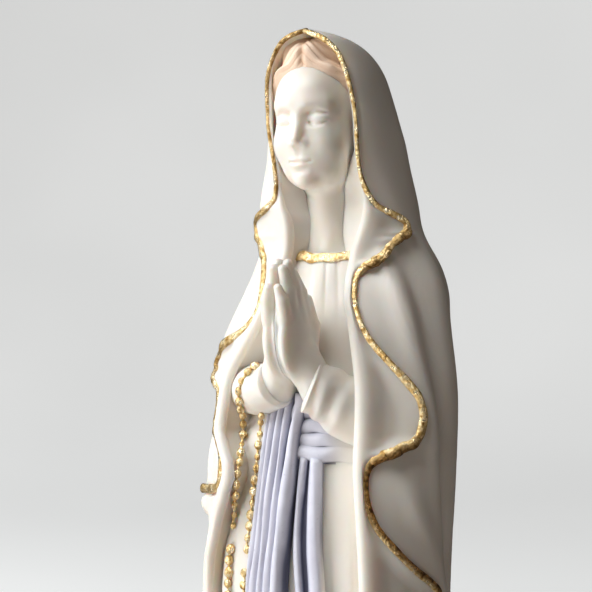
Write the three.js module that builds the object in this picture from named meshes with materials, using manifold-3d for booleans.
// Standing robed figure of a praying woman, a cast and painted statue on a low plinth.
// Millimetres, +Z up, origin at the centre of the underside. The figure faces -Y, so her left is +X.
// Angles round the figure are in degrees from the front (-Y), positive towards her left.

import * as THREE from "three";
import { mergeVertices } from "three/addons/utils/BufferGeometryUtils.js";
import Module from "manifold-3d";

const wasm = await Module();
wasm.setup();

// ---------- Driving dimensions ----------

const GAP = 0.35; // clearance between neighbouring pieces
const FELT_HEIGHT = 0.8;
const PLINTH_TOP = 10;
const ROCK_TOP = 19;
const HEM = 19.5; // underside of the robe and the mantle
const NECKLINE = 200.2;
const VEIL_TOP = 250;
const FULLNESS = 2.25; // power of the body's oval: 2 is an ellipse, more is squarer
const LINING_GAP = 1.3; // room between the robe and the mantle's lining
const FACING_RISE = 1.0; // how far the turned-back edge stands above the mantle
const BORDER_WIDTH = 2.1;
const BORDER_RISE = 0.7;
const BORDER_GAP = 0.6; // the strip stands this far off the facing
const BEAD_RADIUS = 0.95;
const BEAD_PITCH = 2.6;
const BEAD_SIDES = 6;
const BEAD_PROFILE = [[-1, 0], [-0.6, 0.8], [0.6, 0.8], [1, 0]]; // along and across, in bead radii
const CORD_RADIUS = 0.4;

// Mantle outline by height: z, half width, front depth, back depth, centre y.
const MANTLE_FORM = [
  [HEM, 28.5, 23, 24, 0],
  [80, 27.2, 21.5, 22.5, -1],
  [125, 27.4, 21.8, 22, -2.2],
  [147, 28.2, 21.8, 22, -1.8],
  [168, 28, 20.5, 20.5, 1],
  [184, 26.2, 19.3, 18.5, 3.2],
  [193, 24.5, 17, 16.5, 4.5],
  [201, 22, 14, 14, 5],
  [207, 18.9, 13.3, 15, 4],
  [214, 16.6, 14, 15, 3],
  [222, 14.9, 15.6, 14.5, 2.4],
  [231, 13.9, 16.9, 13.5, 2.1],
  [240, 12.6, 15.6, 12.8, -0.2],
  [245, 10.4, 13.2, 11, -2.2],
  [248, 7.4, 10.4, 8.6, -4.6],
  [VEIL_TOP - 0.6, 4.6, 7.4, 5.4, -6.8],
  [VEIL_TOP, 1.5, 2.5, 1.5, -9],
];

// How far the mantle swells beyond its outline, or falls inside it, over each side of the body: z, push.
const RIGHT_SWELL = [
  [124, 0], [135, -2.2], [139, -2.4], [141.2, -1.6], [143.5, 0.6], [146.5, 1.2], [149.5, -0.1],
  [155, -0.8], [167, -0.3], [175, 0.9], [181, 0.8], [191, -1.1], [197, -1.7], [202, -1.7], [206, -0.2],
  [213, 1.2], [223, 0.2], [230, 0], [235, 0.9], [241, 0.9], [246, 0],
];
const LEFT_SWELL = [
  [187, 0], [193, 0.7], [198, 0.6], [203, -0.5], [208, 0], [218, 1], [225, 0.9], [231, 0], [238, -0.5],
  [247, -0.4], [VEIL_TOP, 0],
];
const RIGHT_SWELL_ANGLE = -68;
const LEFT_SWELL_ANGLE = 112;
const SWELL_WIDTH = 26;

// Robe outline by height, in the same columns.
const ROBE_FORM = [
  [HEM, 24.5, 22, 19, -0.5],
  [60, 24, 20.5, 18.5, -1],
  [100, 24, 19.5, 18, -1],
  [129, 23.5, 18.5, 17.5, -1],
  [146, 22.5, 17, 16.5, -0.5],
  [160, 21.5, 14.7, 15.5, 0],
  [170, 20.5, 13.5, 15, 1],
  [180, 19.5, 13, 14, 2],
  [190, 18, 12.3, 13, 3],
  [197, 15.5, 11.5, 10.5, 3.5],
  [NECKLINE, 12.3, 10.6, 8.8, 3.5],
  [NECKLINE + 1.6, 9.5, 9.6, 7.8, 3.2],
];

// Hollow of the hood, round the head and neck.
const HOOD_HOLLOW = [
  [NECKLINE - 1, 14, 12.6, 11, 3.3],
  [204, 10, 12.4, 9, 2],
  [208, 8, 12.6, 8, 0.5],
  [213, 8.4, 14, 8.4, 0],
  [219, 10.4, 15, 11, 0.5],
  [226, 12, 17, 13.2, 1],
  [234, 12, 16, 13, 1],
  [240, 10.6, 14, 11.4, 0],
  [244.5, 8, 12, 8.4, -1.5],
  [247, 4.2, 9, 4.4, -3.5],
];

// Angle of the fold where each front edge of the mantle turns back on itself.
const LEFT_FOLD = [
  [HEM, 47], [129, 46], [152, 43], [171, 41], [184, 36.5], [192, 32.5], [197.8, 34], [202, 37],
  [205.5, 42], [209, 46], [214.6, 44], [220, 40], [228, 39], [238, 38], [244, 34], [247, 22], [249, 5],
  [VEIL_TOP, 2],
];
const RIGHT_FOLD = [
  [HEM, 50], [62, 50], [80, 48], [104, 48], [126, 54], [132.7, 52], [139, 47], [149.4, 38], [153, 35.5],
  [159, 41], [163, 48], [171, 49], [175.4, 46], [180, 39], [185, 33], [189.5, 30], [200, 27], [209, 26],
  [214.5, 27], [221.5, 28], [228, 33], [232, 36], [238, 38], [244, 34], [247, 22], [249, 5],
  [VEIL_TOP, 2],
];

// Angle of the free, gilded edge on her left side.
const LEFT_EDGE = [
  [HEM, 66], [40, 68], [50, 58], [60, 51], [68, 50], [74, 58], [78, 74], [82, 80], [88, 72], [97, 58],
  [106, 50], [114, 51], [120, 60], [125, 76], [130, 82], [136, 68], [145.5, 50], [154.5, 46], [157.6, 47],
  [159.4, 52], [161.2, 60], [163, 67], [166.5, 68], [171, 66], [179, 51.5], [188, 38], [192, 36.5],
  [196, 38], [197.8, 41], [200, 51], [204, 63], [206.2, 73.5], [207.8, 76], [209.4, 68], [211, 57],
  [214.6, 50], [219, 46.5], [228, 44], [238, 42], [243.5, 39], [247, 28], [249, 8], [VEIL_TOP, 5],
];

// The same edge on her right side, which falls in other waves.
const RIGHT_EDGE = [
  [HEM, 64], [38, 70], [46, 60], [56, 54], [66, 55], [72, 62], [76, 76], [82, 84], [92, 80], [102, 72],
  [110, 76], [118, 88], [126, 95], [134, 97], [140, 96], [144, 91], [147, 82], [148.6, 66], [150, 47],
  [153.3, 42], [158, 45.5], [161.3, 52], [163.6, 57], [167, 55.5], [171, 54.8], [173.6, 62], [176, 68.5],
  [178, 67], [180.2, 60], [184, 41.5], [189, 34.5], [192, 35.5], [195.6, 39], [198.5, 45], [202, 54],
  [204.6, 60], [207, 66], [209, 66.5], [210.2, 56.5], [212, 40], [214.5, 34.5], [219, 32.6], [222, 32.6],
  [228, 37], [232, 40], [238, 42], [243.5, 39], [247, 28], [249, 8], [VEIL_TOP, 5],
];

// ---------- Shape helpers ----------

const radians = (a) => THREE.MathUtils.degToRad(a);
const at = (x, y, z) => new THREE.Vector3(x, y, z);

// Smooth, overshoot-free value of column k of a table at height z.
function valueAt(rows, z, k = 1) {
  const last = rows.length - 1;
  if (z <= rows[0][0]) return rows[0][k];
  if (z >= rows[last][0]) return rows[last][k];
  let i = 0;
  while (z > rows[i + 1][0]) i++;
  const slope = (j) => (rows[j + 1][k] - rows[j][k]) / (rows[j + 1][0] - rows[j][0]);
  const tangent = (j) => {
    if (j === 0 || j === last) return slope(Math.min(j, last - 1));
    const [a, b] = [slope(j - 1), slope(j)];
    return a * b <= 0 ? 0 : (2 * a * b) / (a + b);
  };
  const h = rows[i + 1][0] - rows[i][0];
  const t = (z - rows[i][0]) / h;
  return (
    rows[i][k] * (1 + 2 * t) * (1 - t) ** 2 +
    rows[i + 1][k] * t * t * (3 - 2 * t) +
    h * t * (1 - t) * (tangent(i) * (1 - t) - tangent(i + 1) * t)
  );
}

// Point of a body form at an angle and height, moved out from its surface by offset.
function onForm(form, angle, z, offset = 0) {
  const [a, front, back, yc] = [1, 2, 3, 4].map((k) => valueAt(form, z, k));
  const [s, c] = [Math.sin(radians(angle)), Math.cos(radians(angle))];
  const depth = c > 0 ? front : back;
  const r = (Math.abs(s / a) ** FULLNESS + Math.abs(c / depth) ** FULLNESS) ** (-1 / FULLNESS) + offset;
  return at(r * s, yc - r * c, z);
}

// The same for the mantle, which also swells over its sides.
function onMantle(angle, z, offset = 0) {
  const swell = (table, centre) => {
    const away = ((angle - centre + 540) % 360) - 180;
    return valueAt(table, z) * Math.exp(-((away / SWELL_WIDTH) ** 2));
  };
  return onForm(
    MANTLE_FORM, angle, z,
    offset + swell(RIGHT_SWELL, RIGHT_SWELL_ANGLE) + swell(LEFT_SWELL, LEFT_SWELL_ANGLE),
  );
}

// Closed geometry through rings of points, all with the same count. The level end rings get flat caps.
function loft(rings) {
  const n = rings[0].length;
  const faces = [];
  for (let j = 0; j + 1 < rings.length; j++) {
    for (let i = 0; i < n; i++) {
      const [a, b] = [j * n + i, j * n + ((i + 1) % n)];
      faces.push(a, b, b + n, a, b + n, a + n);
    }
  }
  const plan = (ring) => ring.map((p) => new THREE.Vector2(p.x, p.y));
  const capFaces = (ring) => THREE.ShapeUtils.triangulateShape(plan(ring), []);
  const top = (rings.length - 1) * n;
  const turn = THREE.ShapeUtils.isClockWise(plan(rings[0]));
  for (const [a, b, c] of capFaces(rings[0])) faces.push(...(turn ? [a, b, c] : [c, b, a]));
  for (const [a, b, c] of capFaces(rings.at(-1))) {
    const face = turn ? [c, b, a] : [a, b, c];
    faces.push(...face.map((v) => v + top));
  }
  return new THREE.BufferGeometry().setFromPoints(rings.flat()).setIndex(faces);
}

// three.js geometry to a manifold-3d solid, turned outside out if its faces point in.
function solid(geometry) {
  const bare = new THREE.BufferGeometry().setAttribute("position", geometry.getAttribute("position"));
  bare.setIndex(geometry.index);
  const merged = mergeVertices(bare, 1e-3);
  const triVerts = new Uint32Array(merged.index.array);
  const vertProperties = merged.attributes.position.array;
  const make = () => new wasm.Manifold(new wasm.Mesh({ numProp: 3, vertProperties, triVerts }));
  const first = make();
  if (first.volume() > 0) return first;
  for (let i = 0; i < triVerts.length; i += 3) {
    const second = triVerts[i + 1];
    triVerts[i + 1] = triVerts[i + 2];
    triVerts[i + 2] = second;
  }
  return make();
}

const join = (parts) => parts.reduce((sum, part) => sum.add(part));
const cut = (part, ...tools) => tools.reduce((left, tool) => left.subtract(tool), part);

// The largest connected body of a solid, which drops slivers left by a cut.
function mainBody(part) {
  return part.decompose().sort((a, b) => b.volume() - a.volume())[0];
}

function ellipsoid(centre, rx, ry, rz, across = 20, down = 14) {
  const ball = new THREE.SphereGeometry(1, across, down).scale(rx, ry, rz);
  return solid(ball.translate(centre.x, centre.y, centre.z));
}

// Solid from a bar that stands along Y at the origin, turned and moved to lie between two points.
function barBetween(from, to, makeBar) {
  const axis = to.clone().sub(from);
  const bar = makeBar(axis.length());
  bar.applyQuaternion(new THREE.Quaternion().setFromUnitVectors(at(0, 1, 0), axis.normalize()));
  const middle = from.clone().add(to).divideScalar(2);
  return solid(bar.translate(middle.x, middle.y, middle.z));
}

// Tapered round limb between two points.
function limb(from, to, r0, r1, sides = 12) {
  return barBetween(from, to, (length) => new THREE.CylinderGeometry(r1, r0, length, sides));
}

function finger(from, to, radius) {
  return barBetween(from, to, (length) => new THREE.CapsuleGeometry(radius, length, 2, 6));
}

// Evenly spaced values from one number to another, with both ends.
function levels(from, to, count) {
  return Array.from({ length: count + 1 }, (_, i) => from + ((to - from) * i) / count);
}

// Evenly spaced angles once round, in degrees.
const allRound = (sides) => levels(0, 360, sides).slice(1);

// Solid round form between two heights.
function body(form, from, to, count, offset = 0, sides = 32) {
  const ring = (z) => allRound(sides).map((a) => onForm(form, a, z, offset));
  return solid(loft(levels(from, to, count).map(ring)));
}

// Patch of cloth lying on the robe, between two edge angles that change with height. Its outer face
// stands off the robe by outer(t), with t from 0 to 1 across the patch.
function patch([from, to, count], edgeA, edgeB, inner, outer, across) {
  const row = (z) => {
    const angles = levels(0, 1, across).map((t) => edgeA(z) * (1 - t) + edgeB(z) * t);
    const top = angles.map((a, i) => onForm(ROBE_FORM, a, z, outer(i / across)));
    const under = angles.toReversed().map((a) => onForm(ROBE_FORM, a, z, inner));
    return [...top, ...under];
  };
  return solid(loft(levels(from, to, count).map(row)));
}

// Beads strung on a cord along a path, as one turned skin: each bead swells from the cord and back.
function strand(points, skipped = []) {
  const path = new THREE.CatmullRomCurve3(points);
  const length = path.getLength();
  const count = Math.round(length / BEAD_PITCH);
  const stops = [[0, CORD_RADIUS]];
  for (let i = 0; i < count; i++) {
    if (skipped.includes(i)) continue;
    const middle = (i + 0.5) * BEAD_PITCH;
    for (const [step, swell] of BEAD_PROFILE) {
      const radius = Math.max(CORD_RADIUS, BEAD_RADIUS * swell);
      stops.push([middle + step * BEAD_RADIUS, radius]);
    }
  }
  const rings = stops.map(([distance, radius]) => {
    const t = Math.min(1, distance / length);
    const along = path.getTangentAt(t);
    const side = at(1, 0, 0).cross(along).normalize();
    const other = along.clone().cross(side);
    const centre = path.getPointAt(t);
    return allRound(BEAD_SIDES).map((a) =>
      centre.clone()
        .addScaledVector(side, radius * Math.cos(radians(a)))
        .addScaledVector(other, radius * Math.sin(radians(a))),
    );
  });
  return solid(loft(rings));
}

// ---------- Mantle with its gilded edges ----------

const MANTLE_HEIGHTS = [
  HEM, 32, 42, 52, 62, 70, 76, 80, 86, 97, 107, 114, 120, 126, 130, 134, 139, 143, 146.5, 148.6, 150.4,
  153.3, 157, 159.5, 161.4, 163.6, 167, 171, 174, 177, 180.2, 184, 188, 192, 195.6, 198, 201, 204, 206.4,
  208.6, 210.3, 212, 214.5, 219, 224, 230, 237, 241, 244.5, 246.6, 248.2,
];

const NARROWEST_FACING = 4; // degrees
const FOLD_RISE = 0.3; // the rounded fold stands a little proud of the mantle

const LEFT_SIDE = { sign: 1, fold: LEFT_FOLD, edge: LEFT_EDGE };
const RIGHT_SIDE = { sign: -1, fold: RIGHT_FOLD, edge: RIGHT_EDGE };
const foldAt = (side, z) => valueAt(side.fold, z);
const edgeAt = (side, z) => Math.max(valueAt(side.edge, z), foldAt(side, z) + NARROWEST_FACING);

// Angle spanned by the gilded strip, which widens where the edge slants so that its true width stays even.
function stripAngle(side, z) {
  const radius = valueAt(MANTLE_FORM, z);
  const slope = (radians(edgeAt(side, z + 1) - edgeAt(side, z - 1)) * radius) / 2;
  const angle = THREE.MathUtils.radToDeg((BORDER_WIDTH * Math.hypot(1, slope)) / radius);
  return Math.min(angle, (edgeAt(side, z) - foldAt(side, z)) * 0.8);
}

// One level of the mantle: both turned-back facings, the back between them, and the lining round the figure.
function mantleRing(z) {
  const facing = (side) => {
    const [fold, free] = [foldAt(side, z), edgeAt(side, z)];
    const strip = free - stripAngle(side, z);
    return [[fold, FOLD_RISE], [(fold + strip) / 2, FACING_RISE], [strip, FACING_RISE], [free, FACING_RISE]];
  };
  const back = levels(edgeAt(LEFT_SIDE, z) + 1, 359 - edgeAt(RIGHT_SIDE, z), 15).map((a) => [a, 0]);
  const mirrored = facing(RIGHT_SIDE).reverse().map(([a, rise]) => [360 - a, rise]);
  const outside = [...facing(LEFT_SIDE), ...back, ...mirrored];
  const inside = levels(360 - foldAt(RIGHT_SIDE, z), foldAt(LEFT_SIDE, z), 11);
  const liningForm = z < NECKLINE ? ROBE_FORM : HOOD_HOLLOW;
  const liningGap = z < NECKLINE ? LINING_GAP : 0;
  return [
    ...outside.map(([a, rise]) => onMantle(a, z, rise)),
    ...inside.map((a) => onForm(liningForm, a, z, liningGap)),
  ];
}

// Gilded strip along one free edge, from the hem to the crown of the hood.
function border(side) {
  const row = (z) => {
    const angles = [edgeAt(side, z) - stripAngle(side, z), edgeAt(side, z)];
    const onEdge = (a, rise) => onMantle(side.sign * a, z, FACING_RISE + rise);
    const under = angles.map((a) => onEdge(a, BORDER_GAP));
    const over = angles.toReversed().map((a) => onEdge(a, BORDER_GAP + BORDER_RISE));
    return [...under, ...over];
  };
  return solid(loft(MANTLE_HEIGHTS.filter((z) => z < VEIL_TOP - 2).map(row)));
}

// ---------- Head, hair and hands ----------

function head(grow = 0) {
  const cranium = ellipsoid(at(0, -3, 235.5), 10 + grow, 12 + grow, 11.3 + grow, 14, 10);
  const face = ellipsoid(at(0, -6.2, 227.3), 8.4 + grow, 8.8 + grow, 11.6 + grow, 16, 12);
  const nose = ellipsoid(at(0, -14.9, 227.5), 1.5 + grow, 1.9 + grow, 3.3 + grow, 8, 6);
  const neck = limb(at(0, 0.6, NECKLINE - 2), at(0, -2.5, 224), 6 + grow, 5.6 + grow, 16);
  const collar = limb(at(0, 2, NECKLINE - 2), at(0, 0.2, 209), 9.6 + grow, 5.6 + grow, 16);
  return join([cranium, face, nose, neck, collar]);
}

function hair(grow = 0) {
  const shell = ellipsoid(at(0, -2.4, 235.8), 11.1 + grow, 12.6 + grow, 12 + grow, 14, 9);
  if (grow) return shell;
  const faceOpening = ellipsoid(at(0, -17, 228.5), 9.4, 12, 13.2, 14, 8);
  const below = ellipsoid(at(0, 0, 212), 16, 20, 13, 12, 8);
  return mainBody(cut(shell, head(GAP), faceOpening, below));
}

// One hand of the joined pair: palm, four fingers and a thumb. side is +1 for her left.
function hand(side, grow = 0) {
  const palm = ellipsoid(at(side * 1.9, -19.3, 183.2), 2.1 + grow, 6.3 + grow, 8.4 + grow, 12, 8);
  const wrist = limb(at(side * 5, -15.8, 173), at(side * 2.4, -18, 179.5), 3.4 + grow, 3.1 + grow, 10);
  const fingerTips = [196.4, 198, 196.9, 193.2];
  const fingers = fingerTips.map((tip, i) => {
    const knuckle = at(side * 1.9, -15.6 - 2.85 * i, 187.2);
    return finger(knuckle, at(side * 1.5, -19.4 - 1.95 * i, tip), 1.5 + grow);
  });
  const thumb = finger(at(side * 2.5, -14.4, 180), at(side * 2, -14.3, 189.5), 1.4 + grow);
  return cut(join([palm, wrist, ...fingers, thumb]), otherHalf(side, grow));
}

// Block beyond the plane between the two hands, which keeps the left and right pieces apart.
function otherHalf(side, grow) {
  return solid(new THREE.BoxGeometry(40, 60, 90).translate(side * (-20 + GAP / 2 - grow), -18, 180));
}

// Middle line of each sleeve from the hidden elbow to the cuff: x, y, z, radius.
const LEFT_SLEEVE = [[17, -4.5, 165.6, 6], [12, -10, 166.8, 7], [7.8, -14.2, 170, 6], [4, -17, 174.2, 4.6]];
const RIGHT_SLEEVE = [
  [-19, -5.5, 170.6, 5.4], [-13, -11.2, 171.2, 5.6], [-7, -15.4, 172.2, 5.1], [-4.4, -16.6, 173.6, 4.5],
];

// Sleeve of the forearm, as tapered lengths with a round bend between them.
function sleeve(side, grow = 0) {
  const rows = side > 0 ? LEFT_SLEEVE : RIGHT_SLEEVE;
  const lengths = rows.slice(1).map(([x, y, z, radius], i) => {
    const [px, py, pz, before] = rows[i];
    return limb(at(px, py, pz), at(x, y, z), before + grow, radius + grow, 14);
  });
  const bends = rows.slice(1, -1).map(([x, y, z, radius]) => {
    const round = radius + grow;
    return ellipsoid(at(x, y, z), round, round, round, 14, 8);
  });
  return cut(join([...lengths, ...bends]), otherHalf(side, grow));
}

// ---------- Sash ----------

const CLOTH_UNDER = 0.3; // every sash piece starts this far off the robe
const BAND_HALF_ANGLE = 44;
const SLOT_WIDENING = 3; // degrees of extra width for each millimetre of clearance

// Thickness across a pleated piece, rising and falling between two values.
const pleats = (count, low, high) => (t) => low + (high - low) * Math.abs(Math.sin(Math.PI * count * t));

function waistband(grow = 0) {
  const left = () => BAND_HALF_ANGLE;
  const right = () => -BAND_HALF_ANGLE;
  return patch([156.5 - grow, 166.5 + grow, 3], right, left, CLOTH_UNDER - grow, () => 1.5 + grow, 12);
}

// A hanging end of the sash between two edges. With grow it is the plain slot that the end needs.
function sashEnd([from, to, count], edgeA, edgeB, folds, slotRise, across, grow) {
  return patch(
    [from - grow, to + grow, count],
    (z) => valueAt(edgeA, z) - grow * SLOT_WIDENING,
    (z) => valueAt(edgeB, z) + grow * SLOT_WIDENING,
    CLOTH_UNDER - grow, grow ? () => slotRise : folds, across,
  );
}

// Long end that passes over the band and falls in front.
const OVER_LEFT = [[60, -20], [90, -22], [129, -25], [168, -25]];
const OVER_RIGHT = [[60, 4], [129, 5], [150, 4], [168, 7]];
const OVER_SPAN = [56, 168.5, 9]; // from, to, rows
const overTail = (grow = 0) => sashEnd(OVER_SPAN, OVER_LEFT, OVER_RIGHT, pleats(4, 1.9, 3), 3.4, 12, grow);

// Second end, which leaves from under the band.
const UNDER_LEFT = [[60, 9], [129, 9], [156, 8]];
const UNDER_RIGHT = [[60, 24], [129, 26], [156, 26]];
const UNDER_SPAN = [66, 156, 7];
const underTail = () => sashEnd(UNDER_SPAN, UNDER_LEFT, UNDER_RIGHT, pleats(2, 1.1, 2.1), 2.4, 8, 0);

// ---------- Rosary ----------

// Height of a strand that lies on the mantle's gilded edge.
const OVER_FACING = FACING_RISE + BORDER_GAP + BORDER_RISE + BEAD_RADIUS;
const onRobe = (angle, z, lift = 1.3) => onForm(ROBE_FORM, angle, z, lift);
const OUTER_STRAND = [
  at(-10, -19.8, 177), at(-13.2, -18.6, 174.6), at(-14.6, -18.4, 170), onMantle(-42, 163, OVER_FACING),
  onMantle(-42, 156, OVER_FACING), onMantle(-43, 148, OVER_FACING), onMantle(-44, 140, OVER_FACING),
  onRobe(-45, 132), onRobe(-45, 122), onRobe(-42, 106), onRobe(-38, 96),
];
const INNER_STRAND = [
  at(-8.4, -18.9, 164.6), onRobe(-32, 158, 1.8), onRobe(-31, 148), onRobe(-30.5, 134), onRobe(-30, 115),
  onRobe(-31, 101),
];
const PENDANT = [onRobe(-33, 92), onRobe(-33, 84), onRobe(-33, 76.5)];

const CROSS_ANGLE = 35;
const CROSS_BAR = 1.6;
const CROSS_THICKNESS = 1.2;
function crucifix() {
  const middle = onRobe(-CROSS_ANGLE, 67, CROSS_THICKNESS);
  const upright = new THREE.BoxGeometry(CROSS_BAR, CROSS_THICKNESS, 13);
  const arms = new THREE.BoxGeometry(6.4, CROSS_THICKNESS, CROSS_BAR).translate(0, 0, 2.4);
  const placed = (bar) => bar.rotateZ(radians(-CROSS_ANGLE)).translate(middle.x, middle.y, middle.z);
  return join([upright, arms].map((bar) => solid(placed(bar))));
}

// ---------- Feet, roses and base ----------

const FOOT_X = 6.6;
// Toes from the outer one to the big one: how far in from the foot's middle, y.
const TOES = [[-2, -27.6], [-0.8, -27.25], [0.3, -26.9], [1.3, -26.15], [2.2, -25.8]];

function foot(side, grow = 0) {
  const sole = ellipsoid(at(side * FOOT_X, -21.5, 20.9), 3.2 + grow, 6.6 + grow, 2.3 + grow, 12, 8);
  const toes = TOES.map(([x, y]) => ellipsoid(at(side * (FOOT_X - x), y, 20.5), 0.8, 1.2, 0.9, 6, 4));
  const ground = new THREE.BoxGeometry(60, 60, 10).translate(0, -20, ROCK_TOP + GAP - 5 - grow);
  return cut(join([sole, ...(grow ? [] : toes)]), solid(ground));
}

function rose(side) {
  const centre = at(side * FOOT_X, -25, 24);
  const petals = allRound(5).map((a) => {
    const [s, c] = [Math.sin(radians(a)), Math.cos(radians(a))];
    return ellipsoid(at(centre.x + 1.3 * s, centre.y + 1.3 * c, centre.z), 1.3, 1.3, 0.8, 6, 4);
  });
  const heart = ellipsoid(at(centre.x, centre.y, centre.z + 0.5), 1, 1, 0.9, 6, 4);
  return cut(join([...petals, heart]), foot(side, GAP));
}

// Oval slab with softened edges, wavy where a wobble is given.
function slab(a, b, from, to, soft, sides = 40, wobble = () => 0) {
  const rows = [[from, -soft], [from + soft, 0], [to - soft, 0], [to, -soft]];
  const rings = rows.map(([z, grow], row) =>
    allRound(sides).map((angle) => {
      const t = radians(angle);
      const w = grow + wobble(t, row);
      return at((a + w) * Math.sin(t), -(b + w) * Math.cos(t), z);
    }),
  );
  return solid(loft(rings));
}

const rockWobble = (t, row) => 0.7 * Math.sin(5 * t + row) + 0.5 * Math.sin(9 * t - 2 * row) - 0.8 * row;

// ---------- Materials ----------

function paint(color, roughness, metalness = 0) {
  return new THREE.MeshStandardMaterial({ color, roughness, metalness });
}

const MATERIALS = {
  alabaster: paint(0xf3eee6, 0.38),
  skin: paint(0xf6ebe0, 0.4),
  hair: paint(0xdcae8b, 0.5),
  sash: paint(0xc9cce2, 0.45),
  gold: paint(0xb98a3c, 0.3, 0.9),
  felt: paint(0x6d6f78, 0.95),
};

// ---------- Assembly ----------

const statue = new THREE.Group();

function place(name, part, material) {
  const mesh = part.getMesh();
  const geometry = new THREE.BufferGeometry();
  geometry.setAttribute("position", new THREE.BufferAttribute(Float32Array.from(mesh.vertProperties), 3));
  geometry.setIndex(new THREE.BufferAttribute(Uint32Array.from(mesh.triVerts), 1));
  geometry.computeVertexNormals();
  const piece = new THREE.Mesh(geometry, MATERIALS[material]);
  piece.name = name;
  statue.add(piece);
}

const LEFT = 1;
const RIGHT = -1;
const ROBE_TOP = NECKLINE + 1.6;
const NECKBAND_HALF_ANGLE = 33;
const leftSleeve = cut(sleeve(LEFT), hand(LEFT, GAP));
const rightSleeve = cut(sleeve(RIGHT), hand(RIGHT, GAP));
const grownSleeves = join([sleeve(LEFT, GAP), sleeve(RIGHT, GAP)]);
const grownHair = hair(GAP);
const grownHands = join([hand(LEFT, GAP), hand(RIGHT, GAP)]);

place("felt_pad", slab(34, 32, 0, FELT_HEIGHT, 0.1), "felt");
place("plinth", slab(36.5, 34.5, FELT_HEIGHT + GAP, PLINTH_TOP, 1.6), "alabaster");
place("rock_mound", slab(33, 31.5, PLINTH_TOP + GAP, ROCK_TOP, 2, 36, rockWobble), "alabaster");

for (const [side, word] of [[LEFT, "left"], [RIGHT, "right"]]) {
  place(`${word}_foot`, foot(side), "skin");
  place(`${word}_foot_rose`, rose(side), "gold");
  place(`${word}_hand`, hand(side), "skin");
}
place("left_sleeve", mainBody(leftSleeve), "alabaster");
place("right_sleeve", mainBody(rightSleeve), "alabaster");

const robeBody = body(ROBE_FORM, HEM, ROBE_TOP, 15, 0, 20);
const robe = cut(robeBody, grownSleeves, grownHands, head(GAP), foot(LEFT, GAP), foot(RIGHT, GAP));
place("robe", mainBody(robe), "alabaster");

const bandEnd = () => NECKBAND_HALF_ANGLE;
const bandStart = () => -NECKBAND_HALF_ANGLE;
const neckband = patch([NECKLINE - 1.6, NECKLINE + 1, 2], bandStart, bandEnd, GAP, () => 1.05, 10);
place("neckline_band", mainBody(cut(neckband, head(GAP))), "gold");

place("sash_waistband", mainBody(cut(waistband(), overTail(GAP), grownSleeves, grownHands)), "sash");
place("sash_front_end", mainBody(cut(overTail(), grownSleeves, grownHands)), "sash");
place("sash_under_end", mainBody(cut(underTail(), grownSleeves, grownHands)), "sash");

const mantleSolid = join([
  solid(loft(MANTLE_HEIGHTS.map(mantleRing))),
  body(MANTLE_FORM, VEIL_TOP - 2.8, VEIL_TOP, 4, 0, 20),
]);
const mantle = cut(mantleSolid, grownSleeves, grownHair, waistband(GAP));
place("mantle", mainBody(mantle), "alabaster");
place("mantle_border_left", border(LEFT_SIDE), "gold");
place("mantle_border_right", border(RIGHT_SIDE), "gold");

place("head", head(), "skin");
place("hair", hair(), "hair");

place("rosary_outer_strand", strand(OUTER_STRAND, [14]), "gold");
place("rosary_inner_strand", strand(INNER_STRAND, [9]), "gold");
place("rosary_pendant", strand(PENDANT), "gold");
place("rosary_crucifix", crucifix(), "gold");

export default statue;
